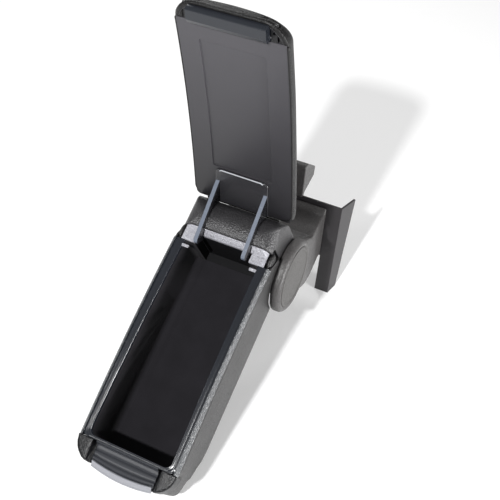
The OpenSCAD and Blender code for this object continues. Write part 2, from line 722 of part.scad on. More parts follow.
// Thick bar along the front of an arm and round its eye
module arm_bar() {
    hull() {
        polygon(arc(elbow, elbow_round, 0, 345, 23));
        polygon(arc(pivot, eye_r, 0, 345, 23));
    }
    hull() {
        polygon(arc(elbow, elbow_round, 0, 345, 23));
        polygon(arc(web_high + [1.5, 0], 3.5, 0, 330, 11));
    }
}
module arm_right() color([0.24, 0.25, 0.27]) box_frame() translate([arm_gap / 2, 0, 0]) difference() {
    union() {
        along_x(arm_web_t) arm_outline();
        along_x(arm_t) intersection() {
            arm_outline();
            arm_bar();
        }
    }
    about_pivot(-lid_open) hinge_plate_shape();
    pin_x(pivot, pin_r + run_fit, -far, far);
}
module arm_left() mirror([1, 0, 0]) arm_right();
module corner_right() color([0.15, 0.15, 0.16]) lid_frame() difference() {
    translate([latch_w / 2 + latch_gap, latch_front_y, rim_z + lid_under])
        cube([corner_piece_w - latch_gap, latch_l + latch_gap, latch_top - rim_z - lid_under]);
    translate([latch_w / 2 + corner_piece_w / 2 + 0.5, latch_rear_y - latch_l / 2, rim_z + lid_under - over])
        cylinder(r = 1.6, h = 3 + over);
    pin_x(latch_axis, latch_pin_r, 0, latch_w / 2 + latch_gap + 4);
}
module corner_left() mirror([1, 0, 0]) corner_right();
module latch_pin() color([0.65, 0.65, 0.67]) lid_frame()
    pin_x(latch_axis, latch_pin_r, -latch_w / 2 - latch_gap - 4, latch_w / 2 + latch_gap + 4);
module latch_bar() color([0.29, 0.31, 0.36]) lid_frame() difference() {
    along_x(latch_w) polygon(fillet([
        [latch_rear_y - latch_gap, latch_top, 2],
        [latch_rear_y - latch_gap, rim_z + lid_under - latch_proud + 3, 3],
        [latch_rear_y - 7, rim_z + lid_under - latch_proud, 2],
        [latch_front_y + 1, rim_z + lid_under - latch_proud, 1.5],
        [latch_front_y, rim_z + lid_under - latch_proud + 5, 2],
        [latch_front_y, latch_top, 1]
    ]));
    pin_x(latch_axis, latch_pin_r + run_fit, -far, far);
}

bracket_plate();
hook_block();
stem();
cap_disc_left();
cap_disc_right();
hub_axle();
stem_screw_left();
stem_screw_right();
tub();
tub_lining();
side_wrap();
bezel();
edge_left();
edge_right();
rear_trim();
knuckle_core();
hump_pad();
bush_left();
bush_right();
hinge_pin();
front_wrap();
front_cap();
front_catch();
lid_panel();
lid_pad();
hinge_plate();
arm_left();
arm_right();
corner_left();
corner_right();
latch_pin();
latch_bar();
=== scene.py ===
# Car centre armrest: finishes, soft pieces, stitching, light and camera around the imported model.
import bpy
import bmesh
import json
import math
import mathutils.kdtree
from mathutils import Matrix, Vector

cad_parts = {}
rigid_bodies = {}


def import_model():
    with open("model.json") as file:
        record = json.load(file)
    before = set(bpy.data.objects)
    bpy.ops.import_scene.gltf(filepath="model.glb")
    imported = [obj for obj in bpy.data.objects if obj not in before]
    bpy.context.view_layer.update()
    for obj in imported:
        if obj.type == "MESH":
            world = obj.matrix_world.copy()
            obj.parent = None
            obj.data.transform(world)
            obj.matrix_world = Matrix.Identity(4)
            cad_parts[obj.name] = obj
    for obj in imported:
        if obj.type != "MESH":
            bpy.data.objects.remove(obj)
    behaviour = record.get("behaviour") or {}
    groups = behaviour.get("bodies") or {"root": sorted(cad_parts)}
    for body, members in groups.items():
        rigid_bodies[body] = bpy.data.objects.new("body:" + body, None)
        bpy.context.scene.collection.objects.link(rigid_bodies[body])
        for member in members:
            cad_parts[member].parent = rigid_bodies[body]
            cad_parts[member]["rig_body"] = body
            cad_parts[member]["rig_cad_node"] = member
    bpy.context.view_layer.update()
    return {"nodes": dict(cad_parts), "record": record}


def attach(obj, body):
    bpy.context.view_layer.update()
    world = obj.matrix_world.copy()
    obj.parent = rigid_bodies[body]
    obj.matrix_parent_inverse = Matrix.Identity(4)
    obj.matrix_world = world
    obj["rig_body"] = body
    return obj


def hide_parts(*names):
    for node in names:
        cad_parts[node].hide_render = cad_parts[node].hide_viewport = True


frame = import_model()
nodes = frame["nodes"]
joints = {joint["name"]: joint for joint in frame["record"]["behaviour"]["joints"]}
mm = 0.001

print("stage: camera")
cameraSettings = {
    "azimuth": 26.8, "elevation": 45.0, "roll": 0.3, "distance": 1134.2, "side": 10.7, "rise": -3.6,
    "target": (0.0, 4.6, 214.6), "focalPixels": 922.6, "centreX": 229.6, "centreY": 255.0, "frameSize": 500,
}


def addCamera(settings):
    azimuth, elevation, roll = (math.radians(settings[k]) for k in ("azimuth", "elevation", "roll"))
    right = Vector((math.cos(azimuth), math.sin(azimuth), 0))
    up = Vector((-math.sin(azimuth) * math.sin(elevation), math.cos(azimuth) * math.sin(elevation),
                 math.cos(elevation)))
    back = right.cross(up)
    turnedRight = right * math.cos(roll) + up * math.sin(roll)
    turnedUp = up * math.cos(roll) - right * math.sin(roll)
    place = turnedRight * settings["side"] + turnedUp * settings["rise"] + back * settings["distance"]
    place = (place + Vector(settings["target"])) * mm
    data = bpy.data.cameras.new("camera")
    data.sensor_fit = "HORIZONTAL"
    data.sensor_width = 36
    data.lens = settings["focalPixels"] * data.sensor_width / settings["frameSize"]
    data.shift_x = 0.5 - settings["centreX"] / settings["frameSize"]
    data.shift_y = settings["centreY"] / settings["frameSize"] - 0.5
    camera = bpy.data.objects.new("camera", data)
    bpy.context.scene.collection.objects.link(camera)
    matrix = Matrix((turnedRight, turnedUp, back)).transposed().to_4x4()
    matrix.translation = place
    camera.matrix_world = matrix
    bpy.context.scene.camera = camera


addCamera(cameraSettings)

print("stage: light")
# Sizes and places in metres, powers in watts
lightSettings = {
    "worldFill": 0.26, "floorColour": 0.8, "floorGlow": 0.2, "floorSize": 14, "aim": (0, 0, 0.22),
    "lamps": {
        "key": {"power": 70, "size": 0.13, "place": (0.06, -1.9, 2.0)},
        "side": {"power": 34, "size": 0.5, "place": (1.75, -0.15, 0.4)},
        "left": {"power": 8, "size": 0.45, "place": (-1.7, -0.9, 1.3)},
        "back": {"power": 11, "size": 0.7, "place": (-0.9, 1.3, 1.5)},
    },
}


def addLamp(name, power, size, place, aim):
    data = bpy.data.lights.new(name, "AREA")
    data.shape = "DISK"
    data.energy = power
    data.size = size
    lamp = bpy.data.objects.new(name, data)
    bpy.context.scene.collection.objects.link(lamp)
    lamp.location = place
    lamp.rotation_euler = (Vector(aim) - Vector(place)).to_track_quat("-Z", "Y").to_euler()


def addWorld(fill):
    world = bpy.data.worlds.new("studio")
    bpy.context.scene.world = world
    world.use_nodes = True
    tree = world.node_tree
    background = tree.nodes["Background"]
    background.inputs["Color"].default_value = (1, 1, 1, 1)
    path = tree.nodes.new("ShaderNodeLightPath")
    level = tree.nodes.new("ShaderNodeMapRange")
    level.inputs["To Min"].default_value = fill
    level.inputs["To Max"].default_value = 1.0
    tree.links.new(path.outputs["Is Camera Ray"], level.inputs["Value"])
    tree.links.new(level.outputs[0], background.inputs["Strength"])


addWorld(lightSettings["worldFill"])
for name, lamp in lightSettings["lamps"].items():
    addLamp(name, **lamp, aim=lightSettings["aim"])
bpy.context.scene.view_settings.view_transform = "Standard"

print("stage: materials")


class Wire:
    # One output socket, so that shader maths reads like ordinary maths
    def __init__(self, shader, socket):
        self.shader = shader
        self.socket = socket

    def maths(self, operation, *others):
        return self.shader.node("ShaderNodeMath", {"operation": operation}, [self, *others])

    def __add__(self, other):
        return self.maths("ADD", other)

    def __sub__(self, other):
        return self.maths("SUBTRACT", other)

    def __rsub__(self, other):
        return self.shader.node("ShaderNodeMath", {"operation": "SUBTRACT"}, [other, self])

    def __mul__(self, other):
        return self.maths("MULTIPLY", other)

    def __truediv__(self, other):
        return self.maths("DIVIDE", other)

    __radd__ = __add__
    __rmul__ = __mul__

    def clipped(self):
        return self.maths("MINIMUM", 1.0).maths("MAXIMUM", 0.0)


class Finish:
    # A material with its Principled shader, and one way to add any other node
    def __init__(self, name):
        self.material = bpy.data.materials.new(name)
        self.material.use_nodes = True
        self.tree = self.material.node_tree
        self.surface = self.tree.nodes["Principled BSDF"]

    def put(self, socket, value):
        if isinstance(value, Wire):
            self.tree.links.new(value.socket, socket)
        elif isinstance(value, tuple) and len(value) == 3 and socket.type == "RGBA":
            socket.default_value = (*value, 1)
        else:
            socket.default_value = value

    def node(self, kind, settings=None, inputs=None, output=0):
        made = self.tree.nodes.new(kind)
        for key, value in (settings or {}).items():
            setattr(made, key, value)
        pairs = enumerate(inputs) if isinstance(inputs, list) else (inputs or {}).items()
        for key, value in pairs:
            self.put(made.inputs[key], value)
        return Wire(self, made.outputs[output])

    def surfaceSet(self, **values):
        for key, value in values.items():
            self.put(self.surface.inputs[key.replace("_", " ")], value)

    def place(self):
        return self.node("ShaderNodeTexCoord", output="Object")

    def noise(self, scale, detail=3.0):
        return self.node("ShaderNodeTexNoise", inputs={"Vector": self.place(), "Scale": scale, "Detail": detail})

    def cells(self, scale):
        return self.node("ShaderNodeTexVoronoi", {"feature": "F1"}, {
            "Vector": self.place(), "Scale": scale}, output="Distance")

    def mixed(self, factor, first, second):
        made = self.tree.nodes.new("ShaderNodeMix")
        made.data_type = "RGBA"
        self.put(made.inputs["Factor"], factor)
        self.put([s for s in made.inputs if s.name == "A" and s.type == "RGBA"][0], first)
        self.put([s for s in made.inputs if s.name == "B" and s.type == "RGBA"][0], second)
        return Wire(self, [s for s in made.outputs if s.type == "RGBA"][0])

    def bump(self, height, strength, distance):
        return self.node("ShaderNodeBump", inputs={
            "Height": height, "Strength": strength, "Distance": distance})


def scaled(colour, factor):
    return tuple(channel * factor for channel in colour)


# Grain of pressed leather or grained moulding, grain in cells a metre and depth in millimetres
leatherSettings = {
    "fineRatio": 2.4, "broadScale": 16.0, "pebbles": 0.9, "fine": 0.4, "broadShade": 0.5, "creaseShade": 0.7,
    "base": -0.1, "broadRough": 0.12, "creaseRough": 0.14, "bump": 0.7,
}


def leatherFinish(name, colour, grain, roughness, shine, depth, contrast=0.45):
    settings = leatherSettings
    finish = Finish(name)
    pebbles = finish.cells(grain)
    fine = finish.noise(grain * settings["fineRatio"])
    broad = finish.noise(settings["broadScale"])
    creases = (pebbles * settings["pebbles"] + fine * settings["fine"]).clipped()
    shade = (broad * settings["broadShade"] + creases * settings["creaseShade"]).clipped()
    rough = roughness + settings["base"] + broad * settings["broadRough"] + creases * settings["creaseRough"]
    finish.surfaceSet(
        Base_Color=finish.mixed(shade, scaled(colour, 1 + contrast), scaled(colour, 1 - contrast)),
        Roughness=rough.clipped(),
        Specular_IOR_Level=shine,
        Normal=finish.bump(1.0 - creases, settings["bump"], depth * mm),
    )
    return finish.material


# Fine texture of moulded plastic and paint, with a slow change of shade
mouldedSettings = {"broadScale": 9.0, "base": -0.05, "broadRough": 0.1, "height": 0.2, "spread": 0.12, "detail": 2.0}


def mouldedFinish(name, colour, roughness, grain, depth, shine):
    settings = mouldedSettings
    finish = Finish(name)
    texture = finish.noise(grain, settings["detail"])
    broad = finish.noise(settings["broadScale"])
    finish.surfaceSet(
        Base_Color=finish.mixed(broad, scaled(colour, 1 - settings["spread"]), scaled(colour, 1 + settings["spread"])),
        Roughness=(roughness + settings["base"] + broad * settings["broadRough"]).clipped(),
        Specular_IOR_Level=shine,
        Normal=finish.bump(texture, depth, settings["height"] * mm),
    )
    return finish.material


flockSettings = {
    "fibreScale": 1500.0, "fibreDetail": 4.0, "patchScale": 32.0, "patches": 0.7, "fibres": 0.3, "dark": 0.6,
    "light": 1.5, "roughness": 0.85, "fibreRough": 0.1, "shine": 0.15, "bump": 0.5, "height": 0.4, "sheen": 0.03,
}


def flockFinish(name, colour):
    settings = flockSettings
    finish = Finish(name)
    fibres = finish.noise(settings["fibreScale"], settings["fibreDetail"])
    patches = finish.noise(settings["patchScale"])
    shade = (patches * settings["patches"] + fibres * settings["fibres"]).clipped()
    finish.surfaceSet(
        Base_Color=finish.mixed(shade, scaled(colour, settings["dark"]), scaled(colour, settings["light"])),
        Roughness=(settings["roughness"] + fibres * settings["fibreRough"]).clipped(),
        Specular_IOR_Level=settings["shine"],
        Sheen_Weight=settings["sheen"],
        Normal=finish.bump(fibres, settings["bump"], settings["height"] * mm),
    )
    return finish.material


# Satin panel with painted shade that deepens towards the hinge, low and high in metres above the ground at rest
paintedShadePanelSettings = {
    "low": 0.22, "high": 0.49, "dark": 0.2, "scale": 1500.0, "detail": 2.0, "broadScale": 9.0, "waver": 0.2,
    "roughness": 0.31, "broadRough": 0.1, "shine": 0.35, "bump": 0.12, "height": 0.2,
}


def paintedShadePanelFinish(name, colour):
    settings = paintedShadePanelSettings
    finish = Finish(name)
    texture = finish.noise(settings["scale"], settings["detail"])
    broad = finish.noise(settings["broadScale"])
    # Painted shade: the colour darkens the lower the panel lies
    height = finish.node("ShaderNodeSeparateXYZ", inputs=[finish.place()], output=2)
    part = (height - settings["low"]) / (settings["high"] - settings["low"])
    part = (part + broad * settings["waver"] - settings["waver"] / 2).clipped()
    finish.surfaceSet(
        Base_Color=finish.mixed(part, scaled(colour, settings["dark"]), colour),
        Roughness=(settings["roughness"] + broad * settings["broadRough"]).clipped(),
        Specular_IOR_Level=settings["shine"],
        Normal=finish.bump(texture, settings["bump"], settings["height"] * mm),
    )
    return finish.material


steelSettings = {
    "scale": 700.0, "detail": 2.0, "dark": 0.85, "light": 1.1, "roughness": 0.28, "drawnRough": 0.1, "bump": 0.1,
    "height": 0.1,
}


def steelFinish(name, colour):
    settings = steelSettings
    finish = Finish(name)
    drawn = finish.noise(settings["scale"], settings["detail"])
    finish.surfaceSet(
        Base_Color=finish.mixed(drawn, scaled(colour, settings["dark"]), scaled(colour, settings["light"])),
        Roughness=(settings["roughness"] + drawn * settings["drawnRough"]).clipped(),
        Metallic=1.0,
        Normal=finish.bump(drawn, settings["bump"], settings["height"] * mm),
    )
    return finish.material


# Arm dark on its flat sides with a painted highlight on its rounded edge faces, told apart by the mask stored on its
# faces
armSettings = {
    "dark": (0.01, 0.01, 0.012), "bright": (0.12, 0.14, 0.18), "broadScale": 120.0, "scale": 1800.0, "detail": 2.0,
    "roughness": 0.2, "broadRough": 0.12, "shine": 0.8, "bump": 0.1, "height": 0.2, "fade": 0.35,
}


def armPaintedHighlightFinish(name):
    settings = armSettings
    finish = Finish(name)
    bar = finish.node("ShaderNodeAttribute", {"attribute_name": "bar"}, output="Fac")
    broad = finish.noise(settings["broadScale"])
    texture = finish.noise(settings["scale"], settings["detail"])
    # Base colour mixes the dark sides and the painted highlight by the mask
    finish.surfaceSet(
        Base_Color=finish.mixed(bar, settings["dark"], settings["bright"]),
        Roughness=(settings["roughness"] + broad * settings["broadRough"]).clipped(),
        Specular_IOR_Level=settings["shine"],
        Normal=finish.bump(texture, settings["bump"], settings["height"] * mm),
    )
    return finish.material


# Colour, then for leather: grain, roughness, shine, depth, contrast; for moulding: roughness, grain, depth, shine
finishes = {
    "bracket_black": mouldedFinish("bracketCoat", (0.026, 0.024, 0.026), 0.42, 900.0, 0.3, 0.5),
    "stem_black": leatherFinish("stemMoulding", (0.07, 0.0665, 0.066), 520.0, 0.36, 0.5, 0.5),
    "steel": steelFinish("plainSteel", (0.55, 0.55, 0.57)),
    "tub_black": mouldedFinish("tubMoulding", (0.006, 0.006, 0.007), 0.6, 2400.0, 0.12, 0.15),
    "flock": flockFinish("flockLining", (0.0135, 0.0127, 0.0152)),
    "leatherette": leatherFinish("leatherCover", (0.0105, 0.0098, 0.0101), 480.0, 0.34, 0.5, 1.1, 0.7),
    "bezel_satin": mouldedFinish("bezelSatin", (0.01, 0.012, 0.017), 0.2, 2400.0, 0.1, 0.8),
    "strip_grain": leatherFinish("stripGrain", (0.07, 0.075, 0.082), 520.0, 0.26, 0.9, 1.2, 0.75),
    # Pale grey of the rear trim is a painted reflection of the light from behind, over a real grain
    "trim_bright": leatherFinish("trimGrainPaintedReflection", (0.4, 0.4, 0.44), 620.0, 0.26, 0.8, 1.0, 0.5),
    "cap_gloss": leatherFinish("capSatin", (0.006, 0.0063, 0.0075), 620.0, 0.28, 0.32, 0.4),
    "lid_grey": paintedShadePanelFinish("lidSatinPaintedShade", (0.056, 0.054, 0.061)),
    "latch_grey": mouldedFinish("latchSatin", (0.014, 0.0165, 0.022), 0.28, 1400.0, 0.14, 0.45),
    "disc_black": leatherFinish("discTexture", (0.05, 0.047, 0.044), 620.0, 0.36, 0.5, 0.5),
}
# Looks of single pieces that differ from the rest of their slot
looks = {
    "arm": armPaintedHighlightFinish("armSatinPaintedHighlight"),
    "hingePlate": mouldedFinish("hingeSatin", (0.024, 0.0235, 0.0265), 0.26, 1800.0, 0.1, 0.6),
    # Pale bead on the hinge plate's edge, a painted highlight
    "paintedPlateHighlight": mouldedFinish("paintedPlateHighlight", (0.42, 0.43, 0.46), 0.25, 1400.0, 0.1, 0.8),
    # Hump leather lighter than the rest of the leather, a painted highlight on the hump
    "hump": leatherFinish("humpLeatherPaintedHighlight", (0.036, 0.035, 0.0375), 560.0, 0.32, 0.6, 0.8, 0.6),
    # Lid leather darker than the box's leather, painted shade
    "lid": leatherFinish("lidLeatherPaintedShade", (0.007, 0.0067, 0.007), 640.0, 0.34, 0.3, 0.6, 0.6),
    "thread": mouldedFinish("threadGrey", (0.12, 0.12, 0.13), 0.5, 1400.0, 0.1, 0.4),
    "catch": mouldedFinish("catchSatin", (0.03, 0.032, 0.038), 0.2, 1400.0, 0.14, 0.9),
    "lip": mouldedFinish("lipSatin", (0.27, 0.275, 0.3), 0.3, 1400.0, 0.14, 0.6),
}

print("stage: floor")
floorSettings = {"drop": 0.2, "roughness": 0.9}


def addFloor(size, shade, glow):
    bpy.ops.object.select_all(action="DESELECT")
    bpy.ops.mesh.primitive_plane_add(size=size, location=(0, 0, -floorSettings["drop"] * mm))
    floor = bpy.context.object
    floor.name = "floor"
    finish = Finish("paleFloor")
    path = finish.tree.nodes.new("ShaderNodeLightPath")
    seen = Wire(finish, path.outputs["Is Camera Ray"]).maths("MAXIMUM", Wire(finish, path.outputs["Is Glossy Ray"]))
    finish.surfaceSet(
        Base_Color=(shade, shade, shade),
        Roughness=floorSettings["roughness"],
        Specular_IOR_Level=0.0,
        Emission_Color=finish.mixed(seen, (0.0, 0.0, 0.0), (glow, glow, glow)),
        Emission_Strength=1.0,
    )
    floor.data.materials.append(finish.material)


addFloor(lightSettings["floorSize"], lightSettings["floorColour"], lightSettings["floorGlow"])

print("stage: pieces taken over from the model")
slotOfNode = {part["node"]: part["material_slot"] for part in frame["record"]["subparts"]}
bodyOfNode = {name: body for body, members in frame["record"]["behaviour"]["bodies"].items() for name in members}
for name, node in nodes.items():
    node.data.materials.clear()
    node.data.materials.append(finishes[slotOfNode[name]])


def only(obj):
    bpy.ops.object.select_all(action="DESELECT")
    obj.select_set(True)
    bpy.context.view_layer.objects.active = obj


def applied(obj, kind, settings):
    only(obj)
    modifier = obj.modifiers.new(kind.lower(), kind)
    for key, value in settings.items():
        setattr(modifier, key, value)
    bpy.ops.object.modifier_apply(modifier=modifier.name)


def creased(obj, angle):
    only(obj)
    bpy.ops.object.shade_smooth_by_angle(angle=math.radians(angle))


# Every vertex of obj goes where place puts it, and the faces are turned outwards again
def moulded(obj, place):
    for vertex in obj.data.vertices:
        vertex.co = place(vertex.co)
    mesh = bmesh.new()
    mesh.from_mesh(obj.data)
    bmesh.ops.recalc_face_normals(mesh, faces=mesh.faces)
    mesh.to_mesh(obj.data)
    mesh.free()


def linked(name, data):
    obj = bpy.data.objects.new(name, data)
    bpy.context.scene.collection.objects.link(obj)
    return obj


# Angles in degrees, the weld distance in metres, smoothing as the part of the way each round goes
shellSettings = {
    "weld": 0.00001, "flat": 0.6, "bevelFrom": 28, "crease": 34, "segments": 2, "weight": 50, "smoothing": 0.5,
}


def merged(node, name):
    copy = nodes[node].copy()
    copy.data = nodes[node].data.copy()
    copy.name = name
    copy.parent = None
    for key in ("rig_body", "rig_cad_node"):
        if key in copy:
            del copy[key]
    bpy.context.scene.collection.objects.link(copy)
    mesh = bmesh.new()
    mesh.from_mesh(copy.data)
    bmesh.ops.remove_doubles(mesh, verts=mesh.verts, dist=shellSettings["weld"])
    bmesh.ops.dissolve_limit(mesh, angle_limit=math.radians(shellSettings["flat"]), verts=mesh.verts, edges=mesh.edges)
    mesh.to_mesh(copy.data)
    mesh.free()
    copy.data.update()
    return copy


def settle(obj, slot, body, *replaced, look=None):
    obj.data.materials.clear()
    obj.data.materials.append(look or finishes[slot])
    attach(obj, body)
    if replaced:
        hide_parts(*replaced)
    return obj


# A rigid piece with softly rounded edges in place of the model's sharp ones, width in millimetres
def eased(node, width, look=None):
    copy = merged(node, node + "_shell")
    applied(copy, "BEVEL", {
        "width": width * mm, "segments": shellSettings["segments"], "limit_method": "ANGLE",
        "angle_limit": math.radians(shellSettings["bevelFrom"]), "use_clamp_overlap": True, "harden_normals": False,
        "miter_outer": "MITER_SHARP"})
    creased(copy, shellSettings["crease"])
    applied(copy, "WEIGHTED_NORMAL", {"mode": "FACE_AREA", "weight": shellSettings["weight"], "keep_sharp": True})
    return settle(copy, slotOfNode[node], bodyOfNode[node], node, look=look)


def storePaintedHighlight(obj, fade):
    # Painted highlight mask: faces turned along x get none, edge faces get it in full
    mask = obj.data.attributes.new("bar", "FLOAT", "FACE")
    highlightShare = [(1 - abs(face.normal.x)) / fade for face in obj.data.polygons]
    mask.data.foreach_set("value", [min(1.0, max(0.0, part)) for part in highlightShare])


easedEdges = {
    "hook_block": 1.6, "arm_left": 1.3, "arm_right": 1.3, "hinge_plate": 1.0, "rear_trim": 0.9, "latch_bar": 1.1,
    "corner_left": 0.9, "corner_right": 0.9, "lid_panel": 0.5, "cap_disc_left": 0.5, "cap_disc_right": 0.5, "tub": 0.4,
}
ownLooks = {"arm_left": looks["arm"], "arm_right": looks["arm"], "hinge_plate": looks["hingePlate"]}
for name, width in easedEdges.items():
    shell = eased(name, width, ownLooks.get(name))
    if name.startswith("arm_"):
        storePaintedHighlight(shell, armSettings["fade"])

print("stage: leather")


# Seamless soft skin over one or two nodes: evened mesh, rounded by smoothing, voxel in millimetres
def softened(name, voxel, rounds, slot, body, *sources, look=None):
    parts = [merged(node, name + "_part") for node in sources]
    bpy.ops.object.select_all(action="DESELECT")
    for part in parts:
        part.select_set(True)
    bpy.context.view_layer.objects.active = parts[0]
    if len(parts) > 1:
        bpy.ops.object.join()
    cover = bpy.context.view_layer.objects.active
    cover.name = name
    applied(cover, "REMESH", {"mode": "VOXEL", "voxel_size": voxel * mm, "use_smooth_shade": True})
    applied(cover, "SMOOTH", {"factor": shellSettings["smoothing"], "iterations": rounds})
    return settle(cover, slot, body, *sources, look=look)


# Vertices within width of a line of points sink along their normals, as leather does at a seam, in millimetres
def pressed(obj, points, width, depth):
    tree = mathutils.kdtree.KDTree(len(points))
    for index, point in enumerate(points):
        tree.insert(point, index)
    tree.balance()
    for vertex in obj.data.vertices:
        reach = tree.find(vertex.co)[2] / (width * mm)
        if reach < 1:
            vertex.co -= vertex.normal * depth * mm * (1 - reach * reach) ** 2
    obj.data.update()


# Places one step apart along a line of points
def along(points, step):
    spaced = [points[0]]
    left = step
    for a, b in zip(points, points[1:]):
        length = (b - a).length
        walked = 0.0
        while length - walked > left:
            walked += left
            spaced.append(a.lerp(b, walked / length))
            left = step
        left -= length - walked
    return spaced


# Thread along a seam: one short rounded bead for each stitch, lying on the surface of obj
def stitched(name, obj, points, body, pitch, length, radius, lift=0.15, look=None):
    mesh = bmesh.new()
    spots = along(points, pitch * mm)
    for a, b in zip(spots, spots[1:]):
        spot, normal = obj.closest_point_on_mesh((a + b) / 2)[1:3]
        way = (b - a).normalized()
        side = normal.cross(way).normalized()
        turn = Matrix((way, side, normal.normalized())).transposed().to_4x4()
        turn.translation = spot + normal * lift * mm
        size = Matrix.Diagonal((length * mm / 2, radius * mm, radius * mm, 1))
        bmesh.ops.create_icosphere(mesh, subdivisions=1, radius=1, matrix=turn @ size)
    data = bpy.data.meshes.new(name)
    mesh.to_mesh(data)
    mesh.free()
    data.shade_smooth()
    return settle(linked(name, data), "leatherette", body, look=look)


# Round cord laid along points, for piping and rolled edges
def bead(name, points, radius, slot, body, sides=8, look=None):
    curve = bpy.data.curves.new(name, "CURVE")
    curve.dimensions = "3D"
    curve.bevel_depth = radius * mm
    curve.bevel_resolution = sides // 4
    curve.use_fill_caps = True
    spline = curve.splines.new("POLY")
    spline.points.add(len(points) - 1)
    for point, place in zip(spline.points, points):
        point.co = (*place, 1)
    only(linked(name, curve))
    bpy.ops.object.convert(target="MESH")
    line = bpy.context.object
    line.name = name
    line.data.shade_smooth()
    return settle(line, slot, body, look=look)


softened("front_corners", 1.3, 10, "cap_gloss", "box", "front_cap")
boxCover = softened("box_leather", 1.7, 5, "leatherette", "box", "side_wrap", "front_wrap")
humpCover = softened("hump_leather", 1.5, 4, "leatherette", "box", "hump_pad", look=looks["hump"])
softened("stem_moulding", 1.9, 9, "stem_black", "bracket", "stem")
lidCover = softened("lid_leather", 1.9, 6, "leatherette", "lid", "lid_pad", look=looks["lid"])

print("stage: lid details")
# The rim of the box, in millimetres from the hub axle in the frame of the box, which tilts by tilt degrees
rim = {
    "tilt": 27.0, "rise": 85.0, "rear": -25.0, "front": -291.0, "crown": 5.0, "halfRear": 62.5, "halfFront": 62.0,
    "mouthRear": 50.5, "mouthFront": 54.5, "lidUnder": 2.2,
}
bothSides = ((-1, "left"), (1, "right"))
hub = Vector(joints["box_tilt"]["pos_m"])
hinge = Vector(joints["lid_hinge"]["pos_m"])
lidOpen = joints["lid_hinge"]["range_deg"][1]
boxTurn = Matrix.Rotation(math.radians(rim["tilt"]), 3, "X")
boxBack = Matrix.Rotation(math.radians(-rim["tilt"]), 3, "X")
lidTurn = Matrix.Rotation(math.radians(-lidOpen), 3, "X")
lidBack = Matrix.Rotation(math.radians(lidOpen), 3, "X")


# A place measured in the frame of the box, and the way back
def boxPoint(x, y, z):
    return hub + boxTurn @ Vector((x, y, z)) * mm


def inBox(place):
    return boxBack @ (place - hub) / mm


# The same for a place on the shut lid, carried to where the open lid stands, and the way back
def lidPoint(x, y, z):
    return hinge + lidTurn @ (boxPoint(x, y, z) - hinge)


def inLid(place):
    return inBox(hinge + lidBack @ (place - hinge))


def limited(part):
    return min(1.0, max(0.0, part))


# Height of the rim's crown at y
def riseAt(y):
    part = limited((rim["rear"] - y) / (rim["rear"] - rim["front"]))
    return 4 * rim["crown"] * part * (1 - part)


# Half width at y of what is rear wide at the rear and front wide at the front
def halfAt(y, rear, front):
    return rear + (front - rear) * (rim["rear"] - y) / (rim["rear"] - rim["front"])


def spread(start, end, count):
    return [start + (end - start) * index / (count - 1) for index in range(count)]


# Piping round the sides and the hinge end of the lid's underside
piping = {
    "halfRear": 66.1, "halfFront": 64.1, "rear": -17.2, "front": -290.0, "radius": 1.5, "corner": 13.0, "steps": 48,
    "cornerFrom": 0.15, "cornerSteps": 9, "up": 1.2,
}


def pipingSide(side, settings):
    corner = settings["corner"]
    flank = [(side * halfAt(y, settings["halfRear"], settings["halfFront"]), y)
             for y in spread(settings["front"], settings["rear"] - corner, settings["steps"])]
    lastX, lastY = flank[-1]
    for turn in spread(settings["cornerFrom"], math.pi / 2, settings["cornerSteps"]):
        flank.append((lastX - side * corner * (1 - math.cos(turn)), lastY + corner * math.sin(turn)))
    return flank


border = pipingSide(-1, piping) + pipingSide(1, piping)[::-1]
bead("lid_border", [lidPoint(x, y, rim["rise"] + riseAt(y) + rim["lidUnder"] + piping["up"]) for x, y in border],
     piping["radius"], "leatherette", "lid", look=looks["lid"])

# Roll of leather along the hinge end
rearRoll = {"half": 50.0, "y": -14.0, "up": 2.2, "radius": 3.2, "steps": 21, "sides": 16}
bead("lid_rear_roll", [lidPoint(x, rearRoll["y"], rim["rise"] + rim["lidUnder"] + rearRoll["up"])
                       for x in spread(-rearRoll["half"], rearRoll["half"], rearRoll["steps"])],
     rearRoll["radius"], "leatherette", "lid", sides=rearRoll["sides"], look=looks["lid"])

# Roll of leather round the latch end, which rises towards the sides so that it clears the rim when shut
frontRoll = {
    "half": 62.6, "wider": 0.6, "corner": 25.0, "front": -314.2, "start": -286.0, "up": 1.0, "radius": 3.0, "bow": 2.2,
    "lift": 2.4, "liftFrom": -303.0, "liftOver": 12.0, "steps": 15, "sides": 16, "inset": 2.6,
    "pitch": 2.1, "length": 1.2, "thread": 0.45,
}


def rollPath(settings):
    path = [(settings["half"] + settings["wider"], settings["start"])]
    for turn in spread(0.0, math.pi / 2, settings["steps"]):
        path.append((settings["half"] - settings["corner"] * (1 - math.cos(turn)),
                     settings["front"] + settings["corner"] * (1 - math.sin(turn))
                     + settings["bow"] * math.cos(turn) ** 2))
    path += [(-x, y) for x, y in reversed(path)]
    return [(x, y, rim["rise"] + rim["lidUnder"] + settings["up"]
             + settings["lift"] * limited((y - settings["liftFrom"]) / settings["liftOver"])) for x, y in path]


roll = rollPath(frontRoll)
frontCord = bead("lid_front_roll", [lidPoint(*place) for place in roll], frontRoll["radius"], "leatherette", "lid",
                 sides=frontRoll["sides"], look=looks["lid"])
inset = frontRoll["inset"]
inner = [lidPoint(x * (1 - inset / frontRoll["half"]), y + inset, z - inset) for x, y, z in roll]
gathered = frontRoll["steps"] - 1
for mark, part in (("right", inner[:gathered]), ("left", inner[-gathered:])):
    stitched("lid_gathers_" + mark, frontCord, part, "lid", frontRoll["pitch"], frontRoll["length"],
             frontRoll["thread"], look=looks["thread"])

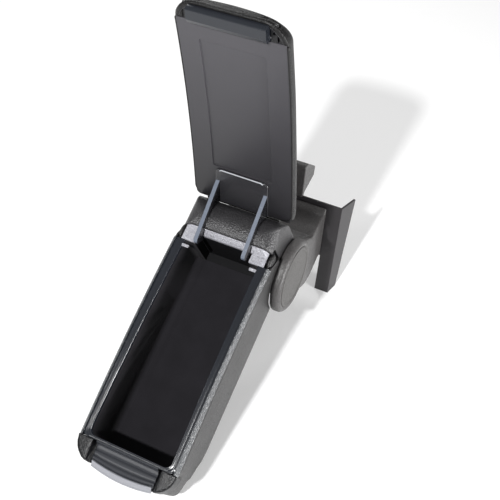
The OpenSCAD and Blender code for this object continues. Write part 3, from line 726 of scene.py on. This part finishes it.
# Pale bead along the edge of the hinge plate, a painted highlight, turned back a little at both ends
paintedPlateHighlight = {"half": 29.0, "near": 6.0, "out": 0.3, "end": 2.0, "back": 0.8, "up": 0.2, "radius": 0.75, "steps": 25}
hingePlate = nodes["hinge_plate"]
plate = [inLid(hingePlate.matrix_world @ vertex.co) for vertex in hingePlate.data.vertices]
edgeY = min(place.y for place in plate)
edgeZ = min(place.z for place in plate if place.y < edgeY + paintedPlateHighlight["near"])
edgeLine = []
for x in spread(-paintedPlateHighlight["half"], paintedPlateHighlight["half"], paintedPlateHighlight["steps"]):
    past = max(0.0, abs(x) - paintedPlateHighlight["half"] + paintedPlateHighlight["end"])
    edgeLine.append(lidPoint(x, edgeY + paintedPlateHighlight["out"] + past * paintedPlateHighlight["back"], edgeZ + paintedPlateHighlight["up"]))
bead("hinge_plate_painted_highlight", edgeLine, paintedPlateHighlight["radius"], "lid_grey", "lid", look=looks["paintedPlateHighlight"])

# Seam along each side of the lid, with its stitches below
lidSeam = {
    "up": 8.0, "out": 66.4, "rear": -26.0, "front": -286.0, "steps": 140, "every": 0.8, "width": 2.2, "depth": 0.7,
    "below": 2.6, "threadSteps": 90, "pitch": 3.8, "length": 2.6, "radius": 0.4,
}


def lidSeamLine(side, below, steps):
    return [lidPoint(side * lidSeam["out"], y, rim["rise"] + riseAt(y) + lidSeam["up"] - below)
            for y in spread(lidSeam["rear"], lidSeam["front"], steps)]


for side, mark in bothSides:
    seam = along(lidSeamLine(side, 0.0, lidSeam["steps"]), lidSeam["every"] * mm)
    pressed(lidCover, seam, lidSeam["width"], lidSeam["depth"])
    stitched("lid_stitches_" + mark, lidCover, lidSeamLine(side, lidSeam["below"], lidSeam["threadSteps"]), "lid",
             lidSeam["pitch"], lidSeam["length"], lidSeam["radius"])

print("stage: shape of the box")
# Behind the rim the leather slopes down under the shoulders of the hump
shoulder = {"start": -25.0, "fall": 0.7, "top": 82.5, "flatten": 0.1}
for vertex in boxCover.data.vertices:
    own = inBox(vertex.co)
    limit = shoulder["top"] - shoulder["fall"] * (own.y - shoulder["start"])
    if own.y > shoulder["start"] and own.z > limit:
        vertex.co = boxPoint(own.x, own.y, limit - shoulder["flatten"] * (own.z - limit))
boxCover.data.update()

# The front corners below the cap are softened once more, where the leather is pulled round
corner = {"half": 26.0, "front": -262.0, "top": 66.0, "fade": 14.0, "rounds": 150}
group = boxCover.vertex_groups.new(name="corner")
for vertex in boxCover.data.vertices:
    own = inBox(vertex.co)
    depth = min(abs(own.x) - corner["half"], corner["front"] - own.y, corner["top"] - own.z) / corner["fade"]
    if depth > 0:
        group.add([vertex.index], min(1.0, depth), "REPLACE")
applied(boxCover, "SMOOTH", {
    "factor": shellSettings["smoothing"], "iterations": corner["rounds"], "vertex_group": "corner"})
boxCover.vertex_groups.clear()

# The lower corners at the front of the box are rounded as one, leather, tub and lining alike
roundness = {
    "radius": 30.0, "half": 66.5, "front": -315.5, "below": -14.0, "step": 5.0, "fineFrom": 20000, "snap": 1e-7,
    "lining": 0.2,
}


# A coarse mesh is cut into strips there first, so that it can follow the rounding
def cutNearCorner(mesh, settings):
    for index in range(1, int(settings["radius"] / settings["step"]) + 1):
        inward = index * settings["step"]
        planes = (
            ((settings["half"] - inward, 0, 0), (1, 0, 0)),
            ((inward - settings["half"], 0, 0), (1, 0, 0)),
            ((0, settings["front"] + inward, 0), (0, 1, 0)),
            ((0, 0, settings["below"] + inward), (0, 0, 1)),
        )
        for point, normal in planes:
            bmesh.ops.bisect_plane(mesh, geom=mesh.verts[:] + mesh.edges[:] + mesh.faces[:], dist=settings["snap"],
                                   plane_co=boxPoint(*point), plane_no=boxTurn @ Vector(normal))
    bmesh.ops.triangulate(mesh, faces=mesh.faces)


def roundedBelow(obj, settings):
    mesh = bmesh.new()
    mesh.from_mesh(obj.data)
    radius = settings["radius"]
    if len(mesh.verts) < settings["fineFrom"]:
        cutNearCorner(mesh, settings)
    for vertex in mesh.verts:
        own = inBox(vertex.co)
        out = max(0.0, abs(own.x) - settings["half"] + radius)
        ahead = max(0.0, settings["front"] + radius - own.y)
        down = max(0.0, settings["below"] + radius - own.z)
        flat = math.hypot(out, ahead)
        if min(flat, down) > 0 and ahead > 0:
            squared = max(flat, down) / math.hypot(flat, down)
            pulled = (1 - squared) * min(1.0, ahead / radius * 2)
            own.x -= math.copysign(out * pulled, own.x)
            own.y += ahead * pulled
            own.z += down * pulled
            vertex.co = boxPoint(*own)
    mesh.to_mesh(obj.data)
    mesh.free()
    obj.data.update()


liningShell = eased("tub_lining", roundness["lining"])
tubShell = bpy.data.objects["tub_shell"]
for obj in (boxCover, tubShell, liningShell):
    roundedBelow(obj, roundness)
for obj in (tubShell, liningShell):
    creased(obj, shellSettings["crease"])

print("stage: rim and front details")


# Skin over closed rows of points, each row as long as the next, with both ends shut
def woven(name, rows, crease, slot, body, *replaced, look=None):
    mesh = bmesh.new()
    grid = [[mesh.verts.new(place) for place in row] for row in rows]
    width = len(rows[0])
    for a, b in zip(grid, grid[1:]):
        for k in range(width):
            mesh.faces.new((a[k], a[(k + 1) % width], b[(k + 1) % width], b[k]))
    mesh.faces.new(grid[0])
    mesh.faces.new(reversed(grid[-1]))
    bmesh.ops.recalc_face_normals(mesh, faces=mesh.faces)
    data = bpy.data.meshes.new(name)
    mesh.to_mesh(data)
    mesh.free()
    piece = linked(name, data)
    creased(piece, crease)
    return settle(piece, slot, body, *replaced, look=look)


# Rim moulding: a rounded inner lip, a shallow trough and a ridge, swept round both sides and the front.
# The profile gives the share of the way from the mouth outwards and the height over the rim.
bezel = {
    "profile": (
        (0.0, -4.0), (0.0, -1.2), (0.02, -0.3), (0.07, 0.2), (0.15, 0.3), (0.22, 0.1), (0.28, -0.25), (0.5, -0.3),
        (0.58, 0.1), (0.66, 0.35), (0.74, 0.3), (0.8, -0.2), (0.97, -0.25), (1.0, -0.5), (1.0, -4.0)),
    "rear": -25.2, "mouthFront": -287.0, "front": -291.0, "inner": 8.0, "outer": 6.0, "sideSteps": 40,
    "turnSteps": 10, "crease": 40,
}


def between(start, end, part):
    return start + (end - start) * part


# Part runs from 0 to 1 along the side and from 1 to 2 round the front corner
def rimPlace(inward, side, part, settings):
    radius = between(settings["inner"], settings["outer"], inward)
    front = between(settings["mouthFront"], settings["front"], inward)
    wideRear = between(rim["mouthRear"], rim["halfRear"], inward)
    wideFront = between(rim["mouthFront"], rim["halfFront"], inward)
    if part <= 1:
        y = between(settings["rear"], front + radius, part)
        return side * halfAt(y, wideRear, wideFront), y
    turn = math.radians(90 * (part - 1))
    wide = halfAt(front + radius, wideRear, wideFront) - radius
    return side * (wide + radius * math.cos(turn)), front + radius - radius * math.sin(turn)


def rimRow(side, part, settings):
    row = []
    for inward, height in settings["profile"]:
        x, y = rimPlace(inward, side, part, settings)
        row.append(boxPoint(x, y, rim["rise"] + riseAt(y) + height))
    return row


stops = spread(0.0, 1.0, bezel["sideSteps"]) + spread(1.0, 2.0, bezel["turnSteps"])[1:]
woven("rim_moulding",
      [rimRow(-1, part, bezel) for part in stops] + [rimRow(1, part, bezel) for part in reversed(stops)],
      bezel["crease"], "bezel_satin", "box", "bezel")

# Catch at the front: two stepped ridges, then a pale lip that bows forward, as outlines of y and z
catch = {
    "half": 41.6, "lipHalf": 40.6, "bow": 4.5, "bowFrom": -300.0, "bowTo": -320.0, "count": 33, "crease": 50,
    "steps": (
        (-290.9, 79.0), (-290.9, 84.3), (-292.4, 84.3), (-293.0, 82.6), (-293.8, 79.2), (-296.8, 76.8),
        (-298.6, 75.4), (-300.6, 74.6), (-302.2, 75.6), (-304.6, 76.0), (-306.2, 75.4), (-307.4, 73.6),
        (-309.2, 73.2), (-310.6, 74.4), (-312.8, 74.8), (-314.2, 74.0), (-315.2, 72.4), (-317.4, 72.0),
        (-317.4, 69.6), (-290.9, 69.6)),
    "lip": (
        (-316.6, 72.6), (-316.8, 74.2), (-317.8, 75.0), (-319.0, 74.6), (-319.6, 73.8), (-323.2, 71.0),
        (-323.8, 71.2), (-324.7, 70.4), (-324.9, 69.2), (-324.0, 67.6), (-318.4, 68.6), (-316.6, 70.0)),
}


def acrossFront(profile, half, settings):
    rows = []
    for x in spread(-half, half, settings["count"]):
        row = []
        for y, z in profile:
            pull = limited((settings["bowFrom"] - y) / (settings["bowFrom"] - settings["bowTo"]))
            row.append(boxPoint(x, y + settings["bow"] * pull * (x / half) ** 2, z))
        rows.append(row)
    return rows


woven("catch_steps", acrossFront(catch["steps"], catch["half"], catch), catch["crease"], "cap_gloss", "box",
      "front_catch", look=looks["catch"])
woven("catch_lip", acrossFront(catch["lip"], catch["lipHalf"], catch), catch["crease"], "latch_grey", "box",
      look=looks["lip"])

# Padding that closes the rear corners of the rim against the hump
padCorner = {"centre": (60.8, -13.5, 73.5), "size": (4.4, 11.5, 8.5), "segments": 40, "rings": 24}
for side, mark in bothSides:
    bpy.ops.object.select_all(action="DESELECT")
    bpy.ops.mesh.primitive_uv_sphere_add(segments=padCorner["segments"], ring_count=padCorner["rings"], radius=1)
    pad = bpy.context.object
    pad.name = "rim_corner_" + mark

    def padPlace(point):
        x, y, z = (start + half * part for start, half, part in zip(padCorner["centre"], padCorner["size"], point))
        return boxPoint(side * x, y, z)

    moulded(pad, padPlace)
    only(pad)
    bpy.ops.object.shade_smooth()
    settle(pad, "leatherette", "box")

# Small ledges inside the rear corners of the mouth, pale as a painted highlight on their edges
ledge = {"in": 42.0, "out": 51.5, "rear": -30.6, "front": -34.4, "top": 85.6, "thick": 1.8, "round": 0.5, "segments": 2}
for side, mark in bothSides:
    bpy.ops.object.select_all(action="DESELECT")
    bpy.ops.mesh.primitive_cube_add(size=1)
    step = bpy.context.object
    step.name = "ledge_painted_highlight_" + mark

    def ledgePlace(point):
        x = side * (ledge["out"] if point.x > 0 else ledge["in"])
        y = ledge["rear"] if point.y > 0 else ledge["front"]
        return boxPoint(x, y, ledge["top"] - (0 if point.z > 0 else ledge["thick"]))

    moulded(step, ledgePlace)
    applied(step, "BEVEL", {"width": ledge["round"] * mm, "segments": ledge["segments"]})
    settle(step, "trim_bright", "box")

# Seam pressed into the leather along each side, below the grained strip
strip = {
    "drop": 7.0, "out": 66.6, "rear": -27.0, "front": -289.0, "steps": 140, "every": 0.8, "width": 1.8, "depth": 0.6,
}
for side, _ in bothSides:
    wall = [boxPoint(side * strip["out"], y, rim["rise"] + riseAt(y) - strip["drop"])
            for y in spread(strip["rear"], strip["front"], strip["steps"])]
    pressed(boxCover, along(wall, strip["every"] * mm), strip["width"], strip["depth"])
